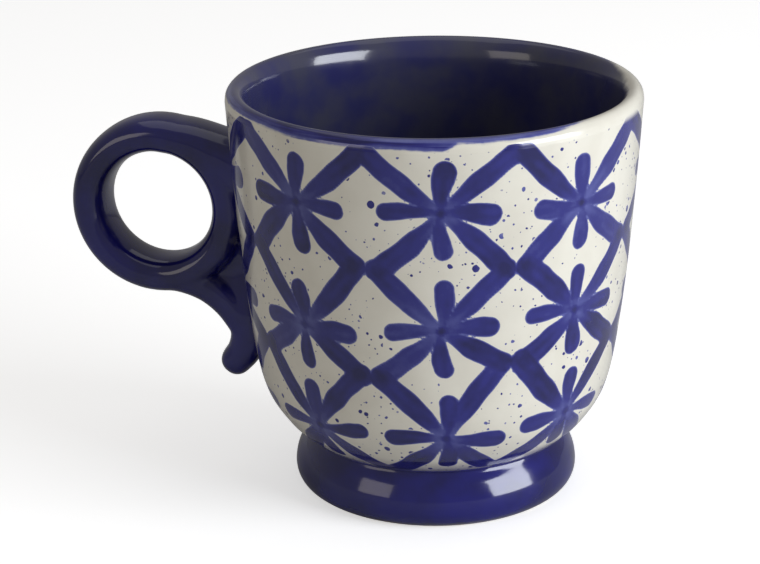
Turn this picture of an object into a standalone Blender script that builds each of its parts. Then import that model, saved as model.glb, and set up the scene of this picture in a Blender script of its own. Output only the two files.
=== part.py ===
"""Footed stoneware mug with a one-finger ring handle and a curled tail below it.

The mug stands on z = 0 with its handle along -X. The origin is under the middle of
the whole outline, handle included, so the turning axis of the bowl lies at AXIS_X.
Every piece is a fired-clay or glaze body of its own, kept GAP apart from its neighbours.
"""

import math

import bmesh
import bpy
from mathutils import Matrix, Vector

MM = 0.001

# Driving dimensions
GAP = 0.3 * MM
TOTAL_HEIGHT = 100.0 * MM
RIM_RADIUS = 49.4 * MM
LIP_THICKNESS = 5.0 * MM
LIP_ROUNDING = 2.8 * MM
GLAZE_THICKNESS = 0.6 * MM
GLAZE_BAND_DEPTH = 3.0 * MM
FLOOR_TOP = 20.5 * MM
BOWL_UNDERSIDE = 14.9 * MM

# Foot: a rounded pedestal ring, hollow underneath, luted to the bowl with slip
SLIP_THICKNESS = 1.0 * MM
FOOT_TOP = BOWL_UNDERSIDE - SLIP_THICKNESS - 2 * GAP
FOOT_OUTER_RADIUS = 34.5 * MM
FOOT_NECK_RADIUS = 31.5 * MM
FOOT_BASE_RADIUS = 31.4 * MM
FOOT_BASE_INNER_RADIUS = 28.6 * MM
FOOT_HOLLOW_RADIUS = 26.6 * MM
FOOT_TOP_CHAMFER = 0.8 * MM
FOOT_BASE_CHAMFER_WIDTH = 1.2 * MM
FOOT_BASE_CHAMFER_HEIGHT = 1.5 * MM

# Slip ring between the foot and the bowl: how far it stays inside the neck, and its bulge
FOOT_JOINT_INNER_STEP = 0.6 * MM
FOOT_JOINT_OUTER_STEP = 0.2 * MM
FOOT_JOINT_BULGE = 0.3 * MM

# Handle: a flattened ring in the plane y = 0 and a tail that curls outward below it
RING_CENTRE_REACH = 68.4 * MM
RING_CENTRE_HEIGHT = 66.75 * MM
RING_RADIUS = 17.85 * MM
RING_TUBE_RADIUS = 4.45 * MM
RING_FLATTENING = 1.7
ROOT_FLATTENING = 1.3
TAIL_FLATTENING = 1.4
KNOB_RADIUS = 4.0 * MM

# Slip pads between the handle and the wall: height of the middle, half height, half width
UPPER_PAD = (70.6 * MM, 15.6 * MM, 6.2 * MM)
LOWER_PAD = (42.2 * MM, 11.6 * MM, 5.2 * MM)
PAD_FORM_DEPTH = 14.0 * MM

# (height, radius) stations of the bowl, outside going up and inside going down
OUTSIDE_STATIONS = (
    (BOWL_UNDERSIDE, 32.5 * MM),
    (16.2 * MM, 34.3 * MM),
    (19.5 * MM, 37.5 * MM),
    (26.0 * MM, 41.4 * MM),
    (36.0 * MM, 43.8 * MM),
    (55.0 * MM, 46.2 * MM),
    (78.0 * MM, 48.1 * MM),
    (TOTAL_HEIGHT - LIP_ROUNDING, RIM_RADIUS),
)
INSIDE_STATIONS = (
    (TOTAL_HEIGHT - LIP_ROUNDING, RIM_RADIUS - LIP_THICKNESS),
    (78.0 * MM, 43.4 * MM),
    (55.0 * MM, 41.6 * MM),
    (38.0 * MM, 39.2 * MM),
    (28.0 * MM, 35.0 * MM),
    (22.4 * MM, 29.0 * MM),
    (FLOOR_TOP, 23.0 * MM),
)

# Foot outline below the slip joint, outside going down
FOOT_STATIONS = (
    (FOOT_TOP, FOOT_NECK_RADIUS),
    (10.8 * MM, 32.8 * MM),
    (8.0 * MM, 34.0 * MM),
    (5.1 * MM, FOOT_OUTER_RADIUS),
    (1.6 * MM, 33.3 * MM),
    (0.0, FOOT_BASE_RADIUS),
)

# (reach from the bowl's axis, height, tube radius) along the middle of each clay roll
ROOT_ROUTE = (
    (66.5 * MM, 84.2 * MM, 4.3 * MM),
    (60.0 * MM, 83.5 * MM, 4.7 * MM),
    (54.0 * MM, 81.1 * MM, 5.5 * MM),
    (47.0 * MM, 77.9 * MM, 6.4 * MM),
)
TAIL_ROUTE = (
    (50.8 * MM, 56.0 * MM, 5.0 * MM),
    (50.6 * MM, 48.0 * MM, 5.0 * MM),
    (48.6 * MM, 41.0 * MM, 4.7 * MM),
    (46.9 * MM, 34.4 * MM, 4.6 * MM),
    (48.6 * MM, 29.6 * MM, 4.3 * MM),
    (50.4 * MM, 26.8 * MM, KNOB_RADIUS),
)
FAIRING_ROUTE = (
    (64.5 * MM, 48.6 * MM, 4.2 * MM),
    (57.0 * MM, 46.3 * MM, 4.3 * MM),
    (51.0 * MM, 41.5 * MM, 4.3 * MM),
)

# Facets
TURN_STEPS = 64
STATION_STEPS = 3
LIP_STEPS = 6
RING_SEGMENTS = 48
RING_SIDES = 16
PAD_SIDES = 24
ROLL_STEPS = 5
ROLL_RESOLUTION = 3
TIP_STEPS = 4
TIP_ANGLE = math.radians(84)
SMOOTH_ANGLE = math.radians(40)
MERGE_DISTANCE = 0.01 * MM

# Placement: the whole outline is centred on the origin
HANDLE_REACH = RING_CENTRE_REACH + RING_RADIUS + RING_TUBE_RADIUS
AXIS_X = (HANDLE_REACH - RIM_RADIUS) / 2

# Piece colours (linear red, green, blue) and roughness
COBALT = (0.019, 0.019, 0.110)
WHITE_GLAZE = (0.740, 0.730, 0.680)
SLIP_CLAY = (0.420, 0.380, 0.320)
GLAZE_ROUGHNESS = 0.12
CLAY_ROUGHNESS = 0.70


def clear_scene():
    for old in list(bpy.data.objects):
        bpy.data.objects.remove(old, do_unlink=True)


def new_collection(name):
    made = bpy.data.collections.new(name)
    bpy.context.scene.collection.children.link(made)
    return made


def move_to(collection, made):
    for owner in list(made.users_collection):
        owner.objects.unlink(made)
    collection.objects.link(made)


def new_material(name, colour, roughness):
    made = bpy.data.materials.new(name)
    made.use_nodes = True
    shader = made.node_tree.nodes["Principled BSDF"]
    shader.inputs["Base Color"].default_value = (*colour, 1.0)
    shader.inputs["Roughness"].default_value = roughness
    shader.inputs["Metallic"].default_value = 0.0
    made.diffuse_color = (*colour, 1.0)
    return made


def through(stations, steps):
    """Points on a Catmull-Rom curve through the stations, with each station kept."""
    knots = [Vector(s) for s in stations]
    first = knots[0] * 2 - knots[1]
    last = knots[-1] * 2 - knots[-2]
    padded = [first, *knots, last]
    points = []
    for a, b, c, d in zip(padded, padded[1:], padded[2:], padded[3:]):
        for step in range(steps):
            t = step / steps
            bend = (a * -1 + b * 3 - c * 3 + d) * t**3 + (a * 2 - b * 5 + c * 4 - d) * t**2
            points.append((bend + (c - a) * t + b * 2) / 2)
    points.append(knots[-1])
    return points


def turned(stations):
    """(radius, height) points through (height, radius) stations."""
    return [Vector((radius, height)) for height, radius in through(stations, STATION_STEPS)]


def lip_arc():
    """Half ellipse from the outside of the lip over its top to the inside, ends left out."""
    half = LIP_THICKNESS / 2
    middle = Vector((RIM_RADIUS - half, TOTAL_HEIGHT - LIP_ROUNDING))
    turns = [math.pi * step / LIP_STEPS for step in range(1, LIP_STEPS)]
    return [middle + Vector((half * math.cos(t), LIP_ROUNDING * math.sin(t))) for t in turns]


def inset(outline, distance):
    """The outline moved square to itself, to the left of its direction of travel."""
    moved = []
    for index, point in enumerate(outline):
        before = outline[max(index - 1, 0)]
        after = outline[min(index + 1, len(outline) - 1)]
        along = (after - before).normalized()
        moved.append(point + Vector((-along.y, along.x)) * distance)
    return moved


def finished_surface(lowest_outside):
    """The glazed surface from a height on the outside, over the lip, to the floor's axis."""
    outside = [p for p in turned(OUTSIDE_STATIONS) if p.y > lowest_outside + GAP]
    start = Vector((radius_at(lowest_outside), lowest_outside))
    inside = turned(INSIDE_STATIONS)
    return [start, *outside, *lip_arc(), *inside, Vector((0.0, FLOOR_TOP))]


def radius_at(height):
    """Outside radius of the bowl at a height."""
    outline = turned(OUTSIDE_STATIONS)
    for low, high in zip(outline, outline[1:]):
        if low.y <= height <= high.y:
            return low.x + (high.x - low.x) * (height - low.y) / (high.y - low.y)
    return outline[-1].x


def turn(name, outline, collection, closed=False):
    """A solid turned about the bowl's axis from an outline that runs clockwise."""
    mesh = bpy.data.meshes.new(name)
    form = bmesh.new()
    ring = [form.verts.new((point.x, 0.0, point.y)) for point in outline]
    for a, b in zip(ring, ring[1:]):
        form.edges.new((a, b))
    if closed:
        form.edges.new((ring[-1], ring[0]))
    form.to_mesh(mesh)
    form.free()
    made = bpy.data.objects.new(name, mesh)
    collection.objects.link(made)
    made.location.x = AXIS_X
    screw = made.modifiers.new("turn", "SCREW")
    screw.axis = "Z"
    screw.angle = math.tau
    screw.steps = TURN_STEPS
    screw.render_steps = TURN_STEPS
    screw.use_merge_vertices = True
    screw.merge_threshold = MERGE_DISTANCE
    screw.use_smooth_shade = False
    return made


def envelope(name, clearance, collection):
    """A cutter with the bowl's outside shape grown by a clearance, closed past both ends."""
    outline = turned(OUTSIDE_STATIONS)
    grown = inset(outline, -clearance)
    top = Vector((grown[-1].x, TOTAL_HEIGHT))
    middle_top = Vector((0.0, TOTAL_HEIGHT))
    middle_bottom = Vector((0.0, grown[0].y))
    return turn(name, [middle_top, top, *reversed(grown), middle_bottom], collection)


def hide_cutter(cutter):
    cutter.hide_render = True
    cutter.display_type = "WIRE"
    return cutter


def cut(piece, cutter, operation="DIFFERENCE"):
    boolean = piece.modifiers.new(operation.lower(), "BOOLEAN")
    boolean.operation = operation
    boolean.object = cutter
    boolean.solver = "EXACT"


def on_handle(reach, height):
    """A place in the handle's plane, measured from the bowl's axis."""
    return Vector((AXIS_X - reach, 0.0, height))


def flattened_ring(name, tube_radius, collection):
    """A torus around Y whose tube is wider across the handle than along it."""
    bpy.ops.mesh.primitive_torus_add(
        major_segments=RING_SEGMENTS,
        minor_segments=RING_SIDES,
        major_radius=RING_RADIUS,
        minor_radius=tube_radius,
        location=(0.0, 0.0, 0.0),
    )
    made = bpy.context.object
    made.name = name
    made.data.transform(Matrix.Diagonal((1.0, 1.0, RING_FLATTENING, 1.0)))
    made.data.transform(Matrix.Rotation(math.radians(90), 4, "X"))
    move_to(collection, made)
    made.location = on_handle(RING_CENTRE_REACH, RING_CENTRE_HEIGHT)
    return made


def rounded_end(route):
    """Points past the last station whose radius shrinks along a half circle."""
    before, last = Vector(route[-2]), Vector(route[-1])
    radius = last.z
    along = (last.xy - before.xy).normalized()
    closing = []
    for step in range(1, TIP_STEPS + 1):
        angle = TIP_ANGLE * step / TIP_STEPS
        middle = last.xy + along * radius * math.sin(angle)
        closing.append(Vector((middle.x, middle.y, radius * math.cos(angle))))
    return closing


def clay_roll(name, route, flattening, collection, round_tip=False):
    """A tube of changing radius along a route, wider across the handle than along it."""
    points = through(route, ROLL_STEPS)
    if round_tip:
        points = points + rounded_end(points)
    curve = bpy.data.curves.new(name, "CURVE")
    curve.dimensions = "3D"
    curve.twist_mode = "MINIMUM"
    curve.bevel_depth = 1.0 * MM
    curve.bevel_resolution = ROLL_RESOLUTION
    curve.use_fill_caps = True
    spline = curve.splines.new("POLY")
    spline.points.add(len(points) - 1)
    for control, (reach, height, radius) in zip(spline.points, points):
        control.co = (*on_handle(reach, height), 1.0)
        control.radius = radius / MM
    drawn = bpy.data.objects.new(name + "_route", curve)
    collection.objects.link(drawn)
    bpy.context.view_layer.update()
    evaluated = drawn.evaluated_get(bpy.context.evaluated_depsgraph_get())
    mesh = bpy.data.meshes.new_from_object(evaluated)
    bpy.data.objects.remove(drawn, do_unlink=True)
    form = bmesh.new()
    form.from_mesh(mesh)
    bmesh.ops.remove_doubles(form, verts=form.verts, dist=MERGE_DISTANCE)
    bmesh.ops.recalc_face_normals(form, faces=form.faces)
    form.to_mesh(mesh)
    form.free()
    mesh.transform(Matrix.Diagonal((1.0, flattening, 1.0, 1.0)))
    mesh.name = name
    made = bpy.data.objects.new(name, mesh)
    collection.objects.link(made)
    return made


def slip_pad(name, pad, collection, inner, outer):
    """A thin pad of slip that follows the wall, between two envelopes of the bowl."""
    height, half_height, half_width = pad
    bpy.ops.mesh.primitive_cylinder_add(vertices=PAD_SIDES, radius=1.0, depth=1.0)
    made = bpy.context.object
    made.name = name
    made.data.transform(Matrix.Diagonal((half_height, half_width, PAD_FORM_DEPTH, 1.0)))
    made.data.transform(Matrix.Rotation(math.radians(90), 4, "Y"))
    move_to(collection, made)
    made.location = on_handle(radius_at(height), height)
    cut(made, outer, "INTERSECT")
    cut(made, inner)
    return made


def finish(piece, material):
    piece.data.materials.clear()
    piece.data.materials.append(material)
    piece.data.shade_smooth()
    piece.data.set_sharp_from_angle(angle=SMOOTH_ANGLE)


def make_bowl(parts):
    band_bottom = TOTAL_HEIGHT - GLAZE_BAND_DEPTH
    glazed = finished_surface(band_bottom)
    clay = inset(glazed, GLAZE_THICKNESS + GAP)
    clay[-1].x = 0.0
    shoulder = band_bottom - GAP
    clay[0].y = shoulder
    outside = [p for p in turned(OUTSIDE_STATIONS) if p.y < shoulder - GAP]
    outside.append(Vector((radius_at(shoulder), shoulder)))
    outline = [*reversed(clay), *reversed(outside), Vector((0.0, BOWL_UNDERSIDE))]
    return turn("bowl", outline, parts)


def make_liner_glaze(parts):
    glazed = finished_surface(TOTAL_HEIGHT - GLAZE_BAND_DEPTH)
    backing = inset(glazed, GLAZE_THICKNESS)
    backing[0].y = glazed[0].y
    backing[-1].x = 0.0
    return turn("liner_glaze", [*reversed(glazed), *backing], parts)


def make_foot_ring(parts):
    base_edge = FOOT_BASE_INNER_RADIUS - FOOT_BASE_CHAMFER_WIDTH
    outline = [
        Vector((FOOT_HOLLOW_RADIUS + FOOT_TOP_CHAMFER, FOOT_TOP)),
        *turned(FOOT_STATIONS),
        Vector((FOOT_BASE_INNER_RADIUS, 0.0)),
        Vector((base_edge, FOOT_BASE_CHAMFER_HEIGHT)),
        Vector((FOOT_HOLLOW_RADIUS, FOOT_TOP - FOOT_TOP_CHAMFER)),
    ]
    return turn("foot_ring", outline, parts, closed=True)


def make_foot_slip_joint(parts):
    low = FOOT_TOP + GAP
    high = low + SLIP_THICKNESS
    inner = FOOT_HOLLOW_RADIUS + FOOT_JOINT_INNER_STEP
    outer = FOOT_NECK_RADIUS - FOOT_JOINT_OUTER_STEP
    outline = [
        Vector((inner, high)),
        Vector((outer, high)),
        Vector((outer + FOOT_JOINT_BULGE, (low + high) / 2)),
        Vector((outer, low)),
        Vector((inner, low)),
    ]
    return turn("foot_slip_joint", outline, parts, closed=True)


def make_handle_ring(parts, cutters, wall):
    ring = flattened_ring("handle_ring", RING_TUBE_RADIUS, parts)
    root = hide_cutter(clay_roll("handle_root_form", ROOT_ROUTE, ROOT_FLATTENING, cutters))
    cut(ring, root, "UNION")
    cut(ring, wall)
    return ring


def make_handle_tail(parts, cutters, wall):
    tail = clay_roll("handle_tail", TAIL_ROUTE, TAIL_FLATTENING, parts, round_tip=True)
    fairing = hide_cutter(clay_roll("tail_fairing_form", FAIRING_ROUTE, TAIL_FLATTENING, cutters))
    cut(tail, fairing, "UNION")
    room = hide_cutter(flattened_ring("ring_room", RING_TUBE_RADIUS + GAP, cutters))
    cut(tail, room)
    cut(tail, wall)
    return tail


def build():
    clear_scene()
    parts = new_collection("stoneware_mug")
    cutters = new_collection("cutters")
    white = new_material("white_glazed_stoneware", WHITE_GLAZE, GLAZE_ROUGHNESS)
    cobalt = new_material("cobalt_glazed_stoneware", COBALT, GLAZE_ROUGHNESS)
    liner = new_material("cobalt_liner_glaze", COBALT, GLAZE_ROUGHNESS)
    slip = new_material("fired_slip", SLIP_CLAY, CLAY_ROUGHNESS)

    pad_back = hide_cutter(envelope("pad_back_form", GAP, cutters))
    pad_front = hide_cutter(envelope("pad_front_form", GAP + SLIP_THICKNESS, cutters))
    wall = hide_cutter(envelope("wall_form", 2 * GAP + SLIP_THICKNESS, cutters))

    finish(make_bowl(parts), white)
    finish(make_liner_glaze(parts), liner)
    finish(make_foot_ring(parts), cobalt)
    finish(make_foot_slip_joint(parts), slip)
    finish(make_handle_ring(parts, cutters, wall), cobalt)
    finish(make_handle_tail(parts, cutters, wall), cobalt)
    finish(slip_pad("handle_upper_slip_joint", UPPER_PAD, parts, pad_back, pad_front), slip)
    finish(slip_pad("handle_lower_slip_joint", LOWER_PAD, parts, pad_back, pad_front), slip)


build()
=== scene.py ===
"""Looks of a footed stoneware mug: painted bowl, cobalt lining, foot and ring handle.

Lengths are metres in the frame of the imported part. The bowl turns about the upright line
through the middle of its foot ring, and the handle points along -X.
"""

import math
import random

import bmesh
import bpy
import numpy as np
from bpy.props import FloatProperty, FloatVectorProperty, IntProperty, PointerProperty
from mathutils import Matrix, Vector


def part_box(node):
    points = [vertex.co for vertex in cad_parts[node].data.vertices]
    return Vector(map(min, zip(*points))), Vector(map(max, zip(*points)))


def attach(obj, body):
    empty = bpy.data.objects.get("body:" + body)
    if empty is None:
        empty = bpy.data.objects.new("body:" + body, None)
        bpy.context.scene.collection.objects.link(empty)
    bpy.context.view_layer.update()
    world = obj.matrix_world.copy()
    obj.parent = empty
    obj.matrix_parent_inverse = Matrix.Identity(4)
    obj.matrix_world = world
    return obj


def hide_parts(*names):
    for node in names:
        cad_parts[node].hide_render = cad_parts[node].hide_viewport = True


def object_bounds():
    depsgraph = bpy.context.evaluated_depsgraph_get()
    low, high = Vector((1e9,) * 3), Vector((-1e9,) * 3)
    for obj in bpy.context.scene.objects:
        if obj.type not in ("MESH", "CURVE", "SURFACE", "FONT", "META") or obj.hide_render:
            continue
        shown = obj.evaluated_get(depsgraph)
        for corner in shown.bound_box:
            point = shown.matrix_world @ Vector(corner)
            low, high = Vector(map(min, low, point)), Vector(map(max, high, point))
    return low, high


bl_info = {
    "name": "Footed Stoneware Mug",
    "version": (1, 0, 0),
    "blender": (4, 5, 0),
    "location": "3D View > Sidebar > Mug",
    "description": "Builds the painted bowl, cobalt lining, foot and handle of a stoneware mug",
    "category": "Add Mesh",
}

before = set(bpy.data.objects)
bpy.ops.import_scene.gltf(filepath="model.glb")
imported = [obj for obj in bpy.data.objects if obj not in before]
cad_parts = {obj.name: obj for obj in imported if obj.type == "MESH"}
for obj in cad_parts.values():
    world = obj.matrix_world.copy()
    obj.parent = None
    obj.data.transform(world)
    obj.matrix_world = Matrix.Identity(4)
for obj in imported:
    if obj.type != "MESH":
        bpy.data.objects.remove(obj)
CAD_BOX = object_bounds()

MM = 0.001
FLOAT_SOCKET = "NodeSocketFloat"


def mm(*lengths):
    """A row of lengths given in millimetres."""
    return tuple(length * MM for length in lengths)


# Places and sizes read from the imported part
FOOT_LOW, FOOT_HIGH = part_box("foot_ring")
LINER_LOW, LINER_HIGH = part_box("liner_glaze")
LINER_DEPTH = 0.6 * MM
AXIS_X = (FOOT_LOW.x + FOOT_HIGH.x) / 2
RIM_RADIUS = (LINER_HIGH.x - LINER_LOW.x) / 2
TOTAL_HEIGHT = LINER_HIGH.z
NECK_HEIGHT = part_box("bowl")[0].z
FLOOR_TOP = LINER_LOW.z + LINER_DEPTH
HANDLE_REACH = AXIS_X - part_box("handle_ring")[0].x

# The bowl's wall and the foot both run on to this height, hidden under the bead of slip
NECK_END = NECK_HEIGHT - 0.6 * MM

# The bowl's piece ends and the lining's begins at this height on the outside
RIM_SEAM = TOTAL_HEIGHT - 3.0 * MM

# (height, radius) stations of the bowl's outside, from the neck up to the lip
OUTSIDE_STATIONS = (
    (NECK_END, 31.7 * MM),
    mm(16.2, 34.3),
    mm(19.5, 37.5),
    mm(26.0, 41.4),
    mm(36.0, 43.8),
    mm(55.0, 46.2),
    mm(78.0, 48.1),
    (RIM_SEAM, RIM_RADIUS),
)

# (height, radius) stations over the lip and down the inside to the floor
LIP_STATIONS = (
    (RIM_SEAM, RIM_RADIUS),
    (TOTAL_HEIGHT - 1.5 * MM, RIM_RADIUS - 0.25 * MM),
    (TOTAL_HEIGHT - 0.35 * MM, RIM_RADIUS - 1.2 * MM),
    (TOTAL_HEIGHT, RIM_RADIUS - 2.3 * MM),
    (TOTAL_HEIGHT - 0.45 * MM, RIM_RADIUS - 3.5 * MM),
    (TOTAL_HEIGHT - 1.9 * MM, RIM_RADIUS - 4.6 * MM),
    (TOTAL_HEIGHT - 4.4 * MM, RIM_RADIUS - 5.3 * MM),
    (TOTAL_HEIGHT - 9.0 * MM, RIM_RADIUS - 5.7 * MM),
    mm(78.0, 43.3),
    mm(55.0, 41.6),
    mm(38.0, 39.2),
    mm(28.0, 35.0),
    mm(22.4, 29.0),
    (FLOOR_TOP, 22.0 * MM),
)
LIP_END = LIP_STATIONS[7][0]
HIDDEN_GAP = 0.9 * MM

# (height, radius) stations of the foot's outside, going down from the neck
FOOT_STATIONS = (
    (NECK_END, 31.1 * MM),
    mm(13.75, 31.15),
    mm(13.2, 31.35),
    mm(12.3, 31.95),
    mm(11.2, 32.65),
    mm(10.0, 33.25),
    mm(8.0, 34.05),
    mm(6.0, 34.45),
    mm(4.4, 34.5),
    mm(2.8, 34.15),
    mm(1.4, 33.3),
    mm(0.35, 32.0),
    (0.0, 31.2 * MM),
)
FOOT_HOLLOW_RADIUS = 26.6 * MM
FOOT_BASE_INNER_RADIUS = 28.6 * MM
NECK_BEAD_REACH = 31.3 * MM
NECK_BEAD_RADIUS = 0.55 * MM
NECK_BEAD_SIDES = 12

# Handle ring: middle, radius of the ring, and half sizes of its flattened section
RING_REACH = 68.4 * MM
RING_CENTRE = Vector((AXIS_X - RING_REACH, 0.0, 66.75 * MM))
RING_TUBE = 4.4 * MM
RING_RADIUS = HANDLE_REACH - RING_REACH - RING_TUBE
RING_HALF_WIDTH = 7.4 * MM
SECTION_SQUARENESS = 2.5
HANDLE_SUNK = 0.5 * MM

# (reach from the bowl's axis, height, radius, half width) along each roll of the handle
ROOT_ROUTE = (
    mm(68.0, 84.4, 4.2, 7.3),
    mm(61.0, 83.6, 4.6, 7.4),
    mm(54.0, 81.0, 5.5, 7.6),
    mm(46.5, 77.2, 7.0, 7.9),
)
WEB_ROUTE = (
    mm(50.0, 62.0, 4.6, 4.4),
    mm(51.4, 55.0, 5.2, 2.9),
    mm(52.8, 50.0, 5.0, 2.6),
    mm(53.4, 46.5, 4.0, 3.0),
)
TAIL_ROUTE = (
    mm(50.2, 55.0, 4.6, 2.4),
    mm(49.8, 49.5, 4.6, 2.6),
    mm(48.9, 44.8, 4.6, 3.8),
    mm(47.8, 40.0, 4.6, 5.3),
    mm(46.9, 34.6, 4.6, 5.2),
    mm(48.2, 29.8, 4.3, 5.0),
    mm(50.4, 26.8, 4.0, 4.9),
)
FAIRING_ROUTE = (
    mm(72.0, 48.9, 4.2, 7.2),
    mm(64.0, 48.6, 4.2, 6.9),
    mm(57.0, 46.4, 4.3, 6.3),
    mm(51.8, 42.2, 4.2, 5.7),
    mm(48.2, 37.0, 4.0, 5.2),
)

# (lowest, highest, half width) of the slip that shows round the handle's two joints
UPPER_SEAM = mm(56.0, 87.4, 8.4)
LOWER_SEAM = mm(29.6, 57.0, 6.9)
SEAM_BULGE = 0.7 * MM
SEAM_SUNK = 0.15 * MM

# Painted columns, turning from the handle past the front: angle from +X in degrees, then
# the (turn in degrees, height) of its three stars, then the heights where its strokes meet
# the next column's
EVEN_STARS = ((0.0, 82.4 * MM), (0.0, 54.0 * MM), (0.0, 27.2 * MM))
EVEN_MEETINGS = mm(96.2, 69.2, 43.6, 15.6)
COLUMNS = (
    (-160.0, EVEN_STARS, EVEN_MEETINGS),
    (
        -117.8,
        ((0.0, 82.7 * MM), (-0.5, 52.7 * MM), (-1.0, 26.2 * MM)),
        mm(96.4, 69.3, 42.6, 15.2),
    ),
    (
        -76.4,
        ((0.0, 83.2 * MM), (0.0, 54.7 * MM), (2.0, 27.0 * MM)),
        mm(96.0, 69.1, 45.4, 16.4),
    ),
    (-34.4, ((-0.5, 81.6 * MM), (0.4, 55.2 * MM), (2.0, 28.8 * MM)), EVEN_MEETINGS),
    (12.5, EVEN_STARS, EVEN_MEETINGS),
    (59.5, EVEN_STARS, EVEN_MEETINGS),
    (106.5, EVEN_STARS, EVEN_MEETINGS),
    (153.5, EVEN_STARS, EVEN_MEETINGS),
)
MEAN_RADIUS = 45.0 * MM
LOWEST_STROKE = 1.5 * MM

# How far short of a meeting a stroke stops, in half widths: on the wall and under the lip
MEETING_SHYNESS = 0.86
RIM_SHYNESS = 0.45

# Where along its length a stroke is first full width, and its width at the start
PETAL_SWELL, PETAL_START = 0.88, 0.42
LATTICE_SWELL, LATTICE_START = 0.55, 0.46

# How a stroke's edge waves, and how far apart its bristle marks lie across and along it
EDGE_WAVE, EDGE_WAVE_RUN = 0.035, 1.3 * MM
BRISTLE_GAP, BRISTLE_RUN = 0.42 * MM, 3.4 * MM

# Depths inside a stroke, in millimetres, that are written to the wall
OUTERMOST, INNERMOST = -2.0, 3.0
STROKE_REACH = 5.0 * MM

# Fired glaze: index of refraction, clear coat, and depth of its ripples
GLAZE_IOR = 1.5
COAT_WEIGHT = 0.35
COAT_ROUGHNESS = 0.03
RIPPLE_DEPTH = 0.10 * MM
COBALT_ROUGHNESS = 0.10

# Flecks: spacing, least and greatest radius, and the share of places that hold one
FLECKS = (
    (1.6 * MM, 0.18 * MM, 0.34 * MM, 0.95),
    (2.8 * MM, 0.34 * MM, 0.64 * MM, 0.80),
    (5.4 * MM, 0.62 * MM, 1.05 * MM, 0.60),
)
FLECK_EDGE = 0.10 * MM
FLECK_DRIFT = 0.6 * MM

# Lower edge of the band on the lip, then its rises: from and to a place along X, and how much
BAND_EDGE = TOTAL_HEIGHT - 2.6 * MM
BAND_RISES = (
    mm(-20.0, -36.0, 0.8),
    mm(12.0, 15.5, 1.3),
    mm(31.0, 44.0, 1.6),
)

# Softboxes: azimuth from the camera's and elevation in degrees, distance, width and height
KEY_PLACE = (63.5, 15.0, 1.0, (0.66, 0.56))
FILL_PLACE = (-50.0, 13.0, 1.0, (0.48, 0.40))
TOP_PLACE = (180.0, 78.0, 1.2, (1.2, 1.2))


def through(stations, steps):
    """Points on a Catmull-Rom curve through the stations, with each station kept."""
    knots = [Vector(station) for station in stations]
    first = knots[0] * 2 - knots[1]
    last = knots[-1] * 2 - knots[-2]
    padded = [first, *knots, last]
    points = []
    for a, b, c, d in zip(padded, padded[1:], padded[2:], padded[3:]):
        for step in range(steps):
            t = step / steps
            bend = (a * -1 + b * 3 - c * 3 + d) * t**3 + (a * 2 - b * 5 + c * 4 - d) * t**2
            points.append((bend + (c - a) * t + b * 2) / 2)
    points.append(knots[-1])
    return points


def outline_through(stations, spacing, knots_per_span=24):
    """(radius, height) points at an even spacing along a curve through the stations."""
    dense = np.array([(p[1], p[0]) for p in through(stations, knots_per_span)])
    lengths = np.r_[0.0, np.cumsum(np.hypot(*np.diff(dense, axis=0).T))]
    count = max(2, round(lengths[-1] / spacing) + 1)
    wanted = np.linspace(0.0, lengths[-1], count)
    radii = np.interp(wanted, lengths, dense[:, 0])
    heights = np.interp(wanted, lengths, dense[:, 1])
    return [Vector((float(r), float(h))) for r, h in zip(radii, heights)]


def offset(outline, distance):
    """The outline moved to the left of its direction of travel."""
    moved = []
    for index, point in enumerate(outline):
        before = outline[max(index - 1, 0)]
        after = outline[min(index + 1, len(outline) - 1)]
        along = (after - before).normalized()
        moved.append(point + Vector((-along.y, along.x)) * distance)
    return moved


class WallCurve:
    """The bowl's outside curve, for radius and distance along the wall at a height."""

    def __init__(self):
        stations = (*OUTSIDE_STATIONS, *LIP_STATIONS[1:4])
        dense = np.array([(p[0], p[1]) for p in through(stations, 24)])
        self.heights = dense[:, 0]
        self.radii = dense[:, 1]
        self.arcs = np.r_[0.0, np.cumsum(np.hypot(*np.diff(dense, axis=0).T))]

    def radius(self, height):
        return np.interp(height, self.heights, self.radii)

    def arc(self, height):
        return np.interp(height, self.heights, self.arcs)


WALL = WallCurve()


def spun(name, outline, turns, closed=False):
    """A mesh object turned about the bowl's axis from a (radius, height) outline."""
    form = bmesh.new()
    line = [form.verts.new((AXIS_X + point.x, 0.0, point.y)) for point in outline]
    edges = [form.edges.new(pair) for pair in zip(line, line[1:])]
    if closed:
        edges.append(form.edges.new((line[-1], line[0])))
    bmesh.ops.spin(
        form,
        geom=line + edges,
        cent=(AXIS_X, 0.0, 0.0),
        axis=(0.0, 0.0, 1.0),
        angle=math.tau,
        steps=turns,
        use_merge=True,
        use_duplicate=False,
    )
    return object_from(name, form)


def object_from(name, form):
    """A linked object made from a bmesh, with doubles merged and faces pointing out."""
    bmesh.ops.remove_doubles(form, verts=form.verts, dist=0.000002)
    bmesh.ops.recalc_face_normals(form, faces=form.faces)
    mesh = bpy.data.meshes.new(name)
    form.to_mesh(mesh)
    form.free()
    made = bpy.data.objects.new(name, mesh)
    bpy.context.scene.collection.objects.link(made)
    return made


def dress(piece, material, slot, *nodes, sharp_angle=50.0):
    """Shades a finished piece, gives it its material and hides the imported nodes it stands for."""
    piece.data.materials.clear()
    piece.data.materials.append(material)
    piece.data.shade_smooth()
    piece.data.set_sharp_from_angle(angle=math.radians(sharp_angle))
    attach(piece, "root")
    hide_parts(*nodes)


# Shader nodes


def add(tree, kind, **settings):
    """A new node with its settings."""
    made = tree.nodes.new(kind)
    for name, value in settings.items():
        setattr(made, name, value)
    return made


def feed(tree, source, socket):
    """Links a socket, or sets a plain value, on an input."""
    if isinstance(source, bpy.types.NodeSocket):
        tree.links.new(source, socket)
    else:
        socket.default_value = source


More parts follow.
